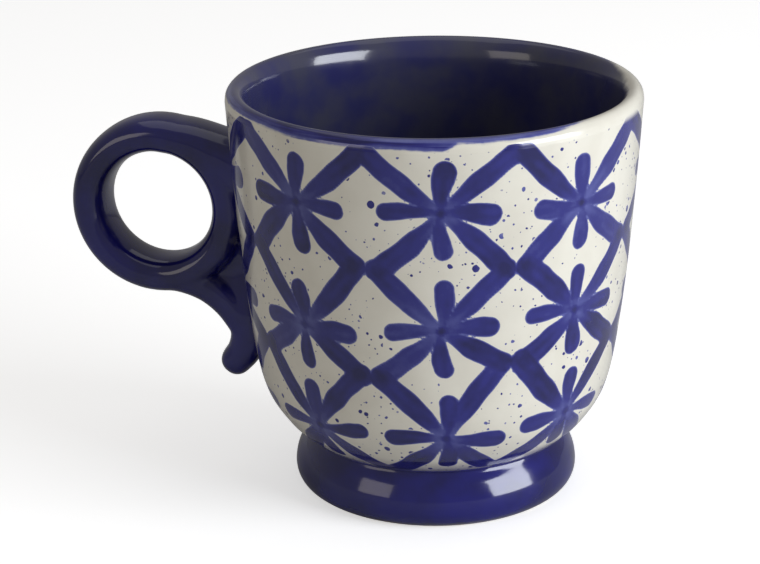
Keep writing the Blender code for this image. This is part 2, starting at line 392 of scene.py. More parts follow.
def maths(tree, operation, *values, clamp=False):
    """The result of an operation on values or sockets."""
    made = add(tree, "ShaderNodeMath", operation=operation, use_clamp=clamp)
    for value, socket in zip(values, made.inputs):
        feed(tree, value, socket)
    return made.outputs[0]


def vector_maths(tree, operation, *values):
    """The outputs of a vector operation on values or sockets."""
    made = add(tree, "ShaderNodeVectorMath", operation=operation)
    for value, socket in zip(values, made.inputs):
        feed(tree, value, socket)
    return made.outputs


def between(tree, value, low, high, to_low=0.0, to_high=1.0, soft=True):
    """Maps a value from one range to another, clamped at both ends."""
    made = add(tree, "ShaderNodeMapRange", interpolation_type="SMOOTHSTEP" if soft else "LINEAR")
    for source, name in (
        (value, "Value"),
        (low, "From Min"),
        (high, "From Max"),
        (to_low, "To Min"),
        (to_high, "To Max"),
    ):
        feed(tree, source, made.inputs[name])
    return made.outputs["Result"]


def here(tree):
    """The place in the object's own coordinates."""
    return add(tree, "ShaderNodeTexCoord").outputs["Object"]


def split(tree, vector):
    """The X, Y and Z of a vector, by name."""
    made = add(tree, "ShaderNodeSeparateXYZ")
    feed(tree, vector, made.inputs[0])
    return made.outputs


def cloud(tree, place, scale, detail=2.0, roughness=0.5):
    """Soft noise from 0 to 1."""
    made = add(tree, "ShaderNodeTexNoise")
    feed(tree, place, made.inputs["Vector"])
    made.inputs["Scale"].default_value = scale
    made.inputs["Detail"].default_value = detail
    made.inputs["Roughness"].default_value = roughness
    return made.outputs["Fac"]


def wander(tree, place, scale, detail, spread):
    """Noise that shifts a value by up to the spread either way."""
    return between(tree, cloud(tree, place, scale, detail), 0.3, 0.7, -spread, spread, soft=False)


def blend_colours(tree, factor, first, second):
    made = add(tree, "ShaderNodeMix", data_type="RGBA")
    feed(tree, factor, made.inputs["Factor"])
    feed(tree, first, made.inputs[6])
    feed(tree, second, made.inputs[7])
    return made.outputs[2]


def stretched(tree, place, scale):
    """The place from the bowl's axis, scaled so that a texture is drawn out along some ways."""
    made = add(tree, "ShaderNodeMapping", vector_type="POINT")
    feed(tree, place, made.inputs["Vector"])
    made.inputs["Location"].default_value = (-AXIS_X * scale[0], 0.0, 0.0)
    made.inputs["Scale"].default_value = scale
    return made.outputs["Vector"]


def new_group(name, inputs, outputs):
    """An empty shader group with named inputs (name, kind, default) and outputs (name, kind)."""
    tree = bpy.data.node_groups.new(name, "ShaderNodeTree")
    for label, kind, default in inputs:
        socket = tree.interface.new_socket(name=label, in_out="INPUT", socket_type=kind)
        socket.default_value = default
    for label, kind in outputs:
        tree.interface.new_socket(name=label, in_out="OUTPUT", socket_type=kind)
    return tree, add(tree, "NodeGroupInput"), add(tree, "NodeGroupOutput")


def use_group(tree, group, **values):
    """A group node with its inputs fed by name, an underscore standing for a space."""
    made = add(tree, "ShaderNodeGroup", node_tree=group)
    for name, value in values.items():
        feed(tree, value, made.inputs[name.replace("_", " ")])
    return made


def glaze_ripple_group():
    """Slow waves and fine orange peel of a fired glaze, as a height and a roughness shift."""
    outputs = (("Height", FLOAT_SOCKET), ("Roughness", FLOAT_SOCKET))
    tree, _, result = new_group("glaze_ripple", (), outputs)
    place = here(tree)
    slow = cloud(tree, place, 55.0, 1.0)
    drawn = cloud(tree, stretched(tree, place, (20.0, 20.0, 160.0)), 1.0, 1.0)
    fine = cloud(tree, place, 900.0, 2.0)
    waves = maths(tree, "ADD", slow, maths(tree, "MULTIPLY", drawn, 0.35))
    height = maths(tree, "ADD", waves, maths(tree, "MULTIPLY", fine, 0.02))
    feed(tree, height, result.inputs["Height"])
    shift = between(tree, cloud(tree, place, 160.0, 3.0), 0.35, 0.75, 0.0, 0.05)
    feed(tree, shift, result.inputs["Roughness"])
    return tree


def spatter_group():
    """Flecks of pigment flicked from a brush, in three sizes, as a mask and a strength."""
    tree, source, result = new_group(
        "brush_spatter",
        (("Amount", FLOAT_SOCKET, 1.0),),
        (("Mask", FLOAT_SOCKET), ("Load", FLOAT_SOCKET)),
    )
    place = here(tree)
    drift = add(tree, "ShaderNodeTexNoise")
    feed(tree, place, drift.inputs["Vector"])
    drift.inputs["Scale"].default_value = 700.0
    centred = vector_maths(tree, "SUBTRACT", drift.outputs["Color"], (0.5, 0.5, 0.5))[0]
    nudged = vector_maths(tree, "MULTIPLY_ADD", centred, (FLECK_DRIFT,) * 3, place)[0]
    patches = between(tree, cloud(tree, place, 34.0, 1.0), 0.30, 0.58, 0.22, 1.0)
    masks = []
    for spacing, low, high, share in FLECKS:
        cells = add(tree, "ShaderNodeTexVoronoi", voronoi_dimensions="3D", feature="F1")
        feed(tree, nudged, cells.inputs["Vector"])
        cells.inputs["Scale"].default_value = 1.0 / spacing
        chance = add(tree, "ShaderNodeSeparateColor")
        feed(tree, cells.outputs["Color"], chance.inputs[0])
        wanted = maths(tree, "MULTIPLY", patches, share)
        wanted = maths(tree, "MULTIPLY", wanted, source.outputs["Amount"])
        present = maths(tree, "LESS_THAN", chance.outputs[0], wanted)
        size = between(tree, chance.outputs[1], 0.0, 1.0, low / spacing, high / spacing, soft=False)
        edge = maths(tree, "SUBTRACT", size, cells.outputs["Distance"])
        fleck = between(tree, edge, 0.0, FLECK_EDGE / spacing)
        masks.append(maths(tree, "MULTIPLY", fleck, present))
    mask = maths(tree, "MAXIMUM", maths(tree, "MAXIMUM", masks[0], masks[1]), masks[2])
    feed(tree, mask, result.inputs["Mask"])
    load = between(tree, cloud(tree, place, 300.0, 0.0), 0.3, 0.7, 0.28, 0.78)
    feed(tree, load, result.inputs["Load"])
    return tree


def rim_band_group():
    """The brushed blue band along the lip: a mask with a wandering lower edge and a load."""
    outputs = (("Mask", FLOAT_SOCKET), ("Load", FLOAT_SOCKET))
    tree, _, result = new_group("rim_band", (), outputs)
    place = here(tree)
    parts = split(tree, stretched(tree, place, (1.0, 1.0, 1.0)))
    slow = wander(tree, place, 60.0, 3.0, 0.35 * MM)
    fine = wander(tree, place, 700.0, 2.0, 0.05 * MM)
    edge = maths(tree, "ADD", slow, fine)
    for start, stop, rise in BAND_RISES:
        edge = maths(tree, "ADD", edge, between(tree, parts["X"], start, stop, 0.0, rise))
    level = maths(tree, "ADD", edge, BAND_EDGE)
    above = maths(tree, "SUBTRACT", parts["Z"], level)
    feed(tree, between(tree, above, -0.08 * MM, 0.10 * MM), result.inputs["Mask"])
    streaks = cloud(tree, stretched(tree, place, (45.0, 45.0, 1500.0)), 1.0, 2.0)
    depth = between(tree, above, 0.0, 1.3 * MM)
    load = maths(tree, "MULTIPLY", between(tree, streaks, 0.3, 0.7, 0.35, 1.0), depth, clamp=True)
    feed(tree, load, result.inputs["Load"])
    return tree


def pigment_group(wash, brushed, pooled):
    """Cobalt pigment under clear glaze: its colour from how much of it the brush left."""
    tree, source, result = new_group(
        "cobalt_pigment",
        (("Load", FLOAT_SOCKET, 1.0), ("Glaze Colour", "NodeSocketColor", (1, 1, 1, 1))),
        (("Color", "NodeSocketColor"),),
    )
    place = here(tree)
    uneven = between(tree, cloud(tree, place, 420.0, 3.0, 0.6), 0.25, 0.75, -0.05, 0.05, soft=False)
    shift = maths(tree, "ADD", uneven, wander(tree, place, 120.0, 1.0, 0.09))
    load = maths(tree, "ADD", source.outputs["Load"], shift, clamp=True)
    thin = blend_colours(tree, between(tree, load, 0.0, 0.30), source.outputs["Glaze Colour"], wash)
    full = blend_colours(tree, between(tree, load, 0.22, 0.72, soft=False), thin, brushed)
    deep = blend_colours(tree, between(tree, load, 0.76, 1.0, soft=False), full, pooled)
    feed(tree, deep, result.inputs["Color"])
    return tree


def shared_group(name, make, *values):
    """A node group that is built the first time it is wanted."""
    return bpy.data.node_groups.get(name) or make(*values)


def glazed_material(name, roughness):
    """A fired glaze still without its colour: the material, its tree and its shader."""
    made = bpy.data.materials.new(name)
    made.use_nodes = True
    tree = made.node_tree
    shader = tree.nodes["Principled BSDF"]
    for label, value in (
        ("Metallic", 0.0),
        ("IOR", GLAZE_IOR),
        ("Coat Weight", COAT_WEIGHT),
        ("Coat Roughness", COAT_ROUGHNESS),
        ("Coat IOR", GLAZE_IOR),
    ):
        shader.inputs[label].default_value = value
    ripple = use_group(tree, shared_group("glaze_ripple", glaze_ripple_group))
    bump = add(tree, "ShaderNodeBump")
    bump.inputs["Strength"].default_value = 1.0
    bump.inputs["Distance"].default_value = RIPPLE_DEPTH
    feed(tree, ripple.outputs["Height"], bump.inputs["Height"])
    feed(tree, bump.outputs["Normal"], shader.inputs["Normal"])
    rough = maths(tree, "ADD", ripple.outputs["Roughness"], roughness)
    feed(tree, rough, shader.inputs["Roughness"])
    return made, tree, shader


def white_glaze_colour(tree, colours):
    """Warm white glaze with faint mottling, a little greyer where it runs thin."""
    place = here(tree)
    mottle = between(tree, cloud(tree, place, 90.0, 3.0), 0.3, 0.75)
    return blend_colours(tree, mottle, (*colours.white, 1.0), (*colours.white_thin, 1.0))


def painted_colour(tree, colours, paint):
    """White glaze under brush strokes, spatter, the rim band and the foot's bleeding glaze."""
    tones = [(*tone, 1.0) for tone in (colours.wash, colours.brushed, colours.pooled)]
    pigment = shared_group("cobalt_pigment", pigment_group, *tones)
    ground = white_glaze_colour(tree, colours)
    place = here(tree)

    depth = add(tree, "ShaderNodeAttribute", attribute_name="stroke_depth").outputs["Fac"]
    load = add(tree, "ShaderNodeAttribute", attribute_name="stroke_load").outputs["Fac"]
    ragged = between(tree, cloud(tree, place, 420.0, 2.0), 0.25, 0.75, -0.05, 0.05, soft=False)
    inside = maths(tree, "ADD", depth, ragged)
    parts = split(tree, place)
    below_lip = between(tree, parts["Z"], TOTAL_HEIGHT - 3.8 * MM, TOTAL_HEIGHT - 1.8 * MM, 1.0, 0.0)
    banded = between(tree, parts["X"], 54.0 * MM, 62.0 * MM, 1.0, 0.0)
    fading = maths(tree, "MAXIMUM", below_lip, banded)
    stroke = maths(tree, "MULTIPLY", between(tree, inside, -0.08, 0.12), fading)
    body = between(tree, inside, 0.0, 0.50, 0.46, 1.0)
    laid = maths(tree, "MULTIPLY", body, load)
    brushed = use_group(tree, pigment, Load=laid, Glaze_Colour=ground)
    colour = blend_colours(tree, stroke, ground, brushed.outputs["Color"])

    spatter = use_group(tree, shared_group("brush_spatter", spatter_group), Amount=paint.spatter)
    fleck = use_group(tree, pigment, Load=spatter.outputs["Load"], Glaze_Colour=ground)
    clear = maths(tree, "MULTIPLY", below_lip, between(tree, depth, -0.3, 0.0, 1.0, 0.0))
    shown = maths(tree, "MULTIPLY", spatter.outputs["Mask"], clear)
    colour = blend_colours(tree, shown, colour, fleck.outputs["Color"])

    band = use_group(tree, shared_group("rim_band", rim_band_group))
    rim = use_group(tree, pigment, Load=band.outputs["Load"], Glaze_Colour=ground)
    open_wall = maths(tree, "SUBTRACT", 1.0, stroke)
    cover = maths(tree, "MAXIMUM", open_wall, band.outputs["Load"])
    cover = maths(tree, "MULTIPLY", cover, band.outputs["Mask"])
    colour = blend_colours(tree, cover, colour, rim.outputs["Color"])

    height = maths(tree, "ADD", parts["Z"], wander(tree, place, 110.0, 2.0, 0.7 * MM))
    bleed = between(tree, height, NECK_HEIGHT - 0.4 * MM, NECK_HEIGHT + 2.6 * MM, 0.38, 0.0)
    return blend_colours(tree, bleed, colour, (*colours.brushed, 1.0))


def painted_glaze(colours, paint):
    made, tree, shader = glazed_material("painted_white_glaze", 0.14)
    feed(tree, painted_colour(tree, colours, paint), shader.inputs["Base Color"])
    return made


def cobalt_colour(tree, deep_colour, bright_colour):
    """Deep cobalt glaze that pools darker and breaks to a brighter blue."""
    place = here(tree)
    pooled = between(tree, cloud(tree, place, 70.0, 3.0), 0.32, 0.70)
    flecked = between(tree, cloud(tree, place, 1300.0, 2.0), 0.60, 0.78, 0.0, 0.30)
    deep = blend_colours(tree, pooled, (*deep_colour, 1.0), (*bright_colour, 1.0))
    return blend_colours(tree, flecked, deep, (*bright_colour, 1.0))


def cobalt_glaze(name, colours):
    made, tree, shader = glazed_material(name, COBALT_ROUGHNESS)
    colour = cobalt_colour(tree, colours.cobalt, colours.cobalt_bright)
    feed(tree, colour, shader.inputs["Base Color"])
    return made


def liner_glaze(colours, paint):
    """Cobalt lining that gives way to the painted wall on the outside of the lip."""
    made, tree, shader = glazed_material("cobalt_liner", 0.12)
    # Where the lining pools, its colour also carries a painted grey reflection of the room's light
    deep = cobalt_colour(tree, colours.lining_with_painted_reflection, colours.lining_bright)
    outer = painted_colour(tree, colours, paint)
    place = here(tree)
    from_axis = stretched(tree, place, (1.0, 1.0, 1.0))
    parts = split(tree, from_axis)
    flat = vector_maths(tree, "MULTIPLY", from_axis, (1.0, 1.0, 0.0))[0]
    reach = vector_maths(tree, "LENGTH", flat)["Value"]
    wobbly = maths(tree, "ADD", reach, wander(tree, place, 150.0, 2.0, 0.3 * MM))
    line = maths(tree, "SUBTRACT", wobbly, RIM_RADIUS)
    turned = maths(tree, "SUBTRACT", parts["X"], maths(tree, "MULTIPLY", parts["Y"], 0.15))
    bared = between(tree, turned, 31.0 * MM, 43.0 * MM, 0.0, 1.9 * MM)
    outward = between(tree, maths(tree, "ADD", line, bared), -2.9 * MM, -1.1 * MM)
    feed(tree, blend_colours(tree, outward, deep, outer), shader.inputs["Base Color"])
    return made


def foot_glaze(colours):
    """Cobalt glaze on the foot, wiped off its resting ring to show the bare clay."""
    made, tree, shader = glazed_material("cobalt_foot", COBALT_ROUGHNESS)
    place = here(tree)
    wiped = between(tree, cloud(tree, place, 200.0, 3.0), 0.3, 0.7, 0.25 * MM, 0.65 * MM, soft=False)
    above = maths(tree, "SUBTRACT", split(tree, place)["Z"], wiped)
    bare = between(tree, above, 0.0, 0.12 * MM, 1.0, 0.0)
    grit = between(tree, cloud(tree, place, 1500.0, 2.0), 0.35, 0.65)
    clay = blend_colours(tree, grit, (*colours.clay, 1.0), (*colours.clay_grit, 1.0))
    glaze = cobalt_colour(tree, colours.cobalt, colours.cobalt_bright)
    feed(tree, blend_colours(tree, bare, glaze, clay), shader.inputs["Base Color"])
    glossy = shader.inputs["Roughness"].links[0].from_socket
    rough = maths(tree, "MAXIMUM", glossy, maths(tree, "MULTIPLY", bare, 0.8))
    feed(tree, rough, shader.inputs["Roughness"])
    feed(tree, between(tree, bare, 0.0, 1.0, COAT_WEIGHT, 0.0), shader.inputs["Coat Weight"])
    return made


def slip_glaze(colours):
    """Cobalt glaze that skipped over the slip in small pale pits."""
    made, tree, shader = glazed_material("cobalt_over_slip", 0.2)
    pits = between(tree, cloud(tree, here(tree), 800.0, 2.0, 0.7), 0.66, 0.72)
    glaze = cobalt_colour(tree, colours.cobalt, colours.cobalt_bright)
    feed(tree, blend_colours(tree, pits, glaze, (*colours.clay, 1.0)), shader.inputs["Base Color"])
    return made


# Brush strokes


class Stroke:
    """One touch of the brush on the wall: it starts narrow, swells, and ends round."""

    def __init__(self, chance, start, end, widths, swell, load, bow):
        self.start = start
        self.end = end
        self.widths = widths
        self.swell = swell
        self.load = load
        self.bow = wobbled(chance, bow)
        self.phases = (chance.uniform(0.0, math.tau), chance.uniform(0.0, math.tau))


def wobbled(chance, spread):
    """A random shift of up to the spread either way."""
    return chance.uniform(-spread, spread)


def star_strokes(chance, centre, radius, paint):
    """Four petals about a star's centre."""
    strokes = []
    for turn, reach in (
        (90.0, paint.upright_petal),
        (270.0, paint.upright_petal),
        (0.0, paint.level_petal),
        (180.0, paint.level_petal),
    ):
        tilt = math.radians(turn + wobbled(chance, 6.0))
        width = paint.petal_width / 2 * chance.uniform(0.88, 1.12)
        length = reach * chance.uniform(0.93, 1.07) - width
        if turn == 270.0:
            length = min(length, centre[1] - LOWEST_STROKE)
        end = (centre[0] + math.cos(tilt) * length / radius, centre[1] + math.sin(tilt) * length)
        widths = (width * PETAL_START, width)
        load = chance.uniform(0.70, 0.92)
        strokes.append(Stroke(chance, centre, end, widths, PETAL_SWELL, load, 0.6 * MM))
    return strokes


def lattice_stroke(chance, centre, meeting, side, shyness, paint):
    """A stroke from a star to its side of a meeting, ending round just short of it."""
    width = paint.lattice_width / 2 * chance.uniform(0.93, 1.08)
    stop = side * width * shyness / MEAN_RADIUS
    end = (meeting[0] - stop, meeting[1] + wobbled(chance, 0.4 * MM))
    widths = (width * LATTICE_START, width)
    load = chance.uniform(0.74, 0.94)
    return Stroke(chance, centre, end, widths, LATTICE_SWELL, load, 0.9 * MM)


def all_strokes(paint):
    """Every stroke on the wall: stars in columns, joined through meetings between columns."""
    chance = random.Random(paint.seed)
    strokes = []
    for index, (angle, stars, meetings) in enumerate(COLUMNS):
        after = COLUMNS[(index + 1) % len(COLUMNS)][0]
        before, _, meetings_before = COLUMNS[index - 1]
        sides = (
            (1, angle + ((after - angle) % 360.0) / 2, meetings),
            (-1, angle - ((angle - before) % 360.0) / 2, meetings_before),
        )
        for row, (turn, height) in enumerate(stars):
            radius = float(WALL.radius(height))
            east = math.radians(angle + turn) + wobbled(chance, 0.2 * MM) / radius
            centre = (east, float(WALL.arc(height)) + wobbled(chance, 0.3 * MM))
            strokes.extend(star_strokes(chance, centre, radius, paint))
            for side, middle, heights in sides:
                for level in (row, row + 1):
                    meeting = (math.radians(middle), float(WALL.arc(heights[level])))
                    shyness = MEETING_SHYNESS if level else RIM_SHYNESS
                    strokes.append(lattice_stroke(chance, centre, meeting, side, shyness, paint))
    return strokes


def wrapped(angles):
    """Angles brought to between minus and plus half a turn."""
    return (angles + math.pi) % math.tau - math.pi


def brush_wall(piece, paint):
    """Writes how deep each point of the wall lies inside a stroke, and how loaded it is."""
    mesh = piece.data
    places = np.empty(len(mesh.vertices) * 3)
    mesh.vertices.foreach_get("co", places)
    places = places.reshape(-1, 3)
    east = places[:, 0] - AXIS_X
    radii = np.hypot(east, places[:, 1])
    angles = np.arctan2(places[:, 1], east)
    arcs = WALL.arc(places[:, 2])
    outside = radii > WALL.radius(places[:, 2]) - 0.2 * MM
    depth = np.full(len(places), OUTERMOST)
    most = np.zeros(len(places))
    bare = np.ones(len(places))
    for stroke in all_strokes(paint):
        span = float(wrapped(np.float64(stroke.end[0] - stroke.start[0])))
        run_y = stroke.end[1] - stroke.start[1]
        turned = wrapped(angles - stroke.start[0] - span / 2) * RIM_RADIUS
        risen = arcs - stroke.start[1] - run_y / 2
        near = np.abs(turned) < abs(span) * RIM_RADIUS / 2 + STROKE_REACH
        near &= np.abs(risen) < abs(run_y) / 2 + STROKE_REACH
        near = np.flatnonzero(near & outside)
        run_x = span * radii[near]
        length = np.hypot(run_x, run_y)
        x = wrapped(angles[near] - stroke.start[0]) * radii[near]
        y = arcs[near] - stroke.start[1]
        along = (x * run_x + y * run_y) / length**2
        across = (x * run_y - y * run_x) / length
        held = np.clip(along, 0.0, 1.0)
        swell = np.clip(held / stroke.swell, 0.0, 1.0)
        swell = swell * swell * (3.0 - 2.0 * swell)
        half = stroke.widths[0] + (stroke.widths[1] - stroke.widths[0]) * swell
        phase = np.where(across > 0.0, stroke.phases[0], stroke.phases[1])
        half = half * (1.0 + EDGE_WAVE * np.sin(along * length / EDGE_WAVE_RUN + phase))
        middle = stroke.bow * 4.0 * held * (1.0 - held)
        inside = (half - np.hypot((along - held) * length, across - middle)) / MM
        depth[near] = np.maximum(depth[near], inside)
        touch = np.clip(inside / 0.6 + 0.5, 0.0, 1.0)
        sunk = np.clip(1.6 * inside * MM / half, 0.0, 1.0)
        left = np.clip(held / 0.5, 0.0, 1.0)
        bristles = np.sin(across / BRISTLE_GAP + stroke.phases[0])
        bristles *= np.sin(along * length / BRISTLE_RUN + stroke.phases[1])
        laid = 0.36 + 0.56 * left * (2.0 - left) + 0.08 * swell + 0.07 * bristles
        laid = np.clip(stroke.load * laid, 0.0, 1.0)
        most[near] = np.maximum(most[near], touch * laid)
        bare[near] *= 1.0 - sunk * laid
    write_attribute(mesh, "stroke_depth", np.clip(depth, OUTERMOST, INNERMOST))
    write_attribute(mesh, "stroke_load", np.maximum(most, 1.0 - bare))


def write_attribute(mesh, name, values):
    """Stores one number for each of the mesh's points."""
    layer = mesh.attributes.new(name, "FLOAT", "POINT")
    layer.data.foreach_set("value", values.astype(np.float32))


# Pieces


def finished_inside(spacing):
    """Lip and inside surface from the rim seam over the lip to the floor's edge."""
    return outline_through(LIP_STATIONS, spacing)


def make_bowl(shape, paint, colours):
    inner = offset(finished_inside(5.0 * MM), HIDDEN_GAP)
    cavity = [p for p in inner if p.y < RIM_SEAM - 3.0 * MM]
    wall = outline_through(OUTSIDE_STATIONS, shape.wall_grain)
    ledge = Vector((cavity[0].x, RIM_SEAM - 0.3 * MM))
    underside = Vector((FOOT_HOLLOW_RADIUS - 1.0 * MM, NECK_END))
    outline = [
        Vector((0.0, FLOOR_TOP - HIDDEN_GAP)),
        *reversed(cavity),
        ledge,
        *reversed(wall),
        underside,
        Vector((0.0, NECK_HEIGHT)),
    ]
    bowl = spun("bowl", outline, shape.wall_turns)
    brush_wall(bowl, paint)
    dress(bowl, painted_glaze(colours, paint), "painted_white_glaze", "bowl")


def make_liner(shape, paint, colours):
    lip = [p for p in finished_inside(0.4 * MM) if p.y > LIP_END]
    inside = [p for p in finished_inside(1.6 * MM) if p.y < lip[-1].y - 0.8 * MM]
    surface = [*lip, *inside]
    backing = offset(finished_inside(4.0 * MM), LINER_DEPTH)
    outline = [
        Vector((0.0, FLOOR_TOP)),
        *reversed(surface),
        Vector((backing[1].x, surface[0].y)),
        *[p for p in backing[1:] if p.y < RIM_SEAM],
        Vector((0.0, FLOOR_TOP - LINER_DEPTH)),
    ]
    liner = spun("liner_glaze", outline, shape.wall_turns)
    brush_wall(liner, paint)
    dress(liner, liner_glaze(colours, paint), "cobalt_liner", "liner_glaze")


def make_foot(shape, colours):
    outside = outline_through(FOOT_STATIONS, 0.5 * MM)
    outline = [
        Vector((FOOT_HOLLOW_RADIUS + 0.5 * MM, NECK_END)),
        *outside,
        Vector((FOOT_BASE_INNER_RADIUS, 0.0)),
        Vector((FOOT_BASE_INNER_RADIUS - 0.7 * MM, 0.5 * MM)),
        Vector((FOOT_BASE_INNER_RADIUS - 1.2 * MM, 1.6 * MM)),
        Vector((FOOT_HOLLOW_RADIUS, NECK_HEIGHT - 2.0 * MM)),
    ]
    foot = spun("foot_ring", outline, shape.turns, closed=True)
    dress(foot, foot_glaze(colours), "cobalt_glaze", "foot_ring")


def make_foot_seam(shape, colours):
    """The glazed bead of slip in the crease between the bowl and the foot."""
    middle = Vector((NECK_BEAD_REACH, NECK_END))
    turns = [math.tau * side / NECK_BEAD_SIDES for side in range(NECK_BEAD_SIDES)]
    ring = [middle + Vector((math.cos(turn), -math.sin(turn))) * NECK_BEAD_RADIUS for turn in turns]
    seam = spun("foot_slip_joint", ring, shape.turns, closed=True)
    dress(seam, cobalt_glaze("cobalt_seam", colours), "fired_slip", "foot_slip_joint")


def squared(turn, half_x, half_y):
    """A point on a flattened section whose corners are a little square."""
    power = 2.0 / SECTION_SQUARENESS
    c, s = math.cos(turn), math.sin(turn)
    x = math.copysign(abs(c) ** power, c) * half_x
    y = math.copysign(abs(s) ** power, s) * half_y
    return x, y


def add_ring(form, segments=144, around=40):
    """The closed finger ring, as a squared section spun about its own axis."""
    section = []
    for step in range(around):
        x, y = squared(math.tau * step / around, RING_TUBE, RING_HALF_WIDTH)
        section.append(form.verts.new(RING_CENTRE + Vector((RING_RADIUS + x, y, 0.0))))
    edges = [form.edges.new((section[i], section[(i + 1) % around])) for i in range(around)]
    bmesh.ops.spin(
        form,
        geom=section + edges,
        cent=RING_CENTRE,
        axis=(0.0, 1.0, 0.0),
        angle=math.tau,
        steps=segments,
        use_merge=True,
        use_duplicate=False,
    )


def station_matrix(before, here, after):
    """Places a unit section at a station of a roll, square to the roll's direction."""
    along = Vector((-(after[0] - before[0]), 0.0, after[1] - before[1])).normalized()
    side = Vector((0.0, 1.0, 0.0))
    out = along.cross(side)
    middle = Vector((AXIS_X - here[0], 0.0, here[1]))
    turn = Matrix((out * here[2], side * here[3], along)).transposed().to_4x4()
    return Matrix.Translation(middle) @ turn


def round_off(stations, steps=7):
    """Stations past the last one whose section shrinks to a round end."""
    before, last = stations[-2], stations[-1]
    along = (last.xy - before.xy).normalized()
    closing = []
    for step in range(1, steps + 1):
        turn = math.radians(86.0) * step / steps
        middle = last.xy + along * last.z * math.sin(turn)
        shrink = math.cos(turn)
        closing.append(Vector((middle.x, middle.y, last.z * shrink, last.w * shrink)))
    return closing


def add_roll(form, route, around=40, steps=10):
    """A roll of clay: one section extruded from station to station, round at both ends."""
    middle = through(route, steps)
    tail = round_off(middle)
    head = list(reversed(round_off(list(reversed(middle)))))
    stations = [*head, *middle, *tail]
    circle = [squared(math.tau * step / around, 1.0, 1.0) for step in range(around)]
    verts = [form.verts.new((x, y, 0.0)) for x, y in circle]
    edges = [form.edges.new((verts[i], verts[(i + 1) % around])) for i in range(around)]
    placed = station_matrix(stations[0], stations[0], stations[1])
    bmesh.ops.transform(form, matrix=placed, verts=verts)
    bmesh.ops.contextual_create(form, geom=edges)
    for index in range(1, len(stations)):
        after = stations[min(index + 1, len(stations) - 1)]
        matrix = station_matrix(stations[index - 1], stations[index], after)
        grown = bmesh.ops.extrude_edge_only(form, edges=edges)["geom"]
        verts = [g for g in grown if isinstance(g, bmesh.types.BMVert)]
        grown_edges = [g for g in grown if isinstance(g, bmesh.types.BMEdge)]
        edges = [edge for edge in grown_edges if all(v in verts for v in edge.verts)]
        bmesh.ops.transform(form, matrix=matrix @ placed.inverted(), verts=verts)
        placed = matrix
    bmesh.ops.contextual_create(form, geom=edges)


def fused(piece, voxel, smoothing):
    """Fuses overlapping forms into one skin and smooths the joins, as wet clay is."""
    remesh = piece.modifiers.new("fuse", "REMESH")
    remesh.mode = "VOXEL"
    remesh.voxel_size = voxel
    smooth = piece.modifiers.new("smooth", "SMOOTH")
    smooth.factor = 0.5
    smooth.iterations = smoothing
    evaluated = piece.evaluated_get(bpy.context.evaluated_depsgraph_get())
    mesh = bpy.data.meshes.new_from_object(evaluated)
    mesh.name = piece.name
    piece.modifiers.clear()
    piece.data = mesh


def rest_on_wall(piece, sunk):
    """Moves what lies inside the bowl's wall out to just under its surface."""
    places = np.empty(len(piece.data.vertices) * 3)
    piece.data.vertices.foreach_get("co", places)
    places = places.reshape(-1, 3)
    east = places[:, 0] - AXIS_X
    reach = np.hypot(east, places[:, 1])
    least = WALL.radius(places[:, 2]) - sunk
    grown = np.maximum(least / reach, 1.0)
    places[:, 0] = AXIS_X + east * grown
    places[:, 1] *= grown
    piece.data.vertices.foreach_set("co", places.ravel())


def make_handle(shape, colours):
    form = bmesh.new()
    add_ring(form)
    for route in (ROOT_ROUTE, WEB_ROUTE, TAIL_ROUTE, FAIRING_ROUTE):
        add_roll(form, route)
    handle = object_from("handle", form)
    fused(handle, shape.clay_grain, shape.smoothing)
    rest_on_wall(handle, HANDLE_SUNK)
    material = cobalt_glaze("cobalt_handle", colours)
    dress(handle, material, "cobalt_glaze", "handle_ring", "handle_tail", sharp_angle=180.0)


def make_handle_seam(name, place, material, node):
    """A lens of slip that hugs the wall and shows as a thin ragged line round the joint."""
    low, high, half_width = place
    form = bmesh.new()
    bmesh.ops.create_uvsphere(form, u_segments=96, v_segments=48, radius=1.0)
    middle = (low + high) / 2
    half_height = (high - low) / 2
    chance = random.Random(len(name))
    phases = [chance.uniform(0.0, math.tau) for _ in range(3)]
    for vertex in form.verts:
        depth, across, up = vertex.co
        turn = math.atan2(up, across)
        ragged = 1.0 + 0.02 * sum(math.sin(turn * n + p) for n, p in zip((7, 13, 23), phases))
        height = middle + up * half_height * ragged
        radius = float(WALL.radius(height)) + depth * SEAM_BULGE - SEAM_SUNK
        angle = math.pi + across * half_width * ragged / radius
        vertex.co = (AXIS_X + radius * math.cos(angle), radius * math.sin(angle), height)
    seam = object_from(name, form)
    dress(seam, material, "fired_slip", node, sharp_angle=180.0)


# Stage


def make_floor(stage):
    form = bmesh.new()
    bmesh.ops.create_circle(form, cap_ends=True, segments=96, radius=stage.floor_radius)
    floor = object_from("floor", form)
    for vertex in floor.data.vertices:
        vertex.co.z = CAD_BOX[0].z
    made = bpy.data.materials.new("pale_floor")
    made.use_nodes = True
    tree = made.node_tree
    shader = tree.nodes["Principled BSDF"]
    seen = add(tree, "ShaderNodeLightPath").outputs["Is Camera Ray"]
    plain = (*stage.floor_colour, 1.0)
    feed(tree, blend_colours(tree, seen, (*stage.floor_bounce, 1.0), plain), shader.inputs["Base Color"])
    feed(tree, maths(tree, "MULTIPLY", seen, stage.floor_lift), shader.inputs["Emission Strength"])
    shader.inputs["Emission Color"].default_value = plain
    shader.inputs["Roughness"].default_value = 0.9
    shader.inputs["Specular IOR Level"].default_value = 0.2
    floor.data.materials.append(made)


def direction(azimuth, elevation):
    """A unit direction from the mug, azimuth 0 towards -Y and growing towards +X."""
    return Vector(
        (
            math.sin(azimuth) * math.cos(elevation),
            -math.cos(azimuth) * math.cos(elevation),
            math.sin(elevation),
        )
    )


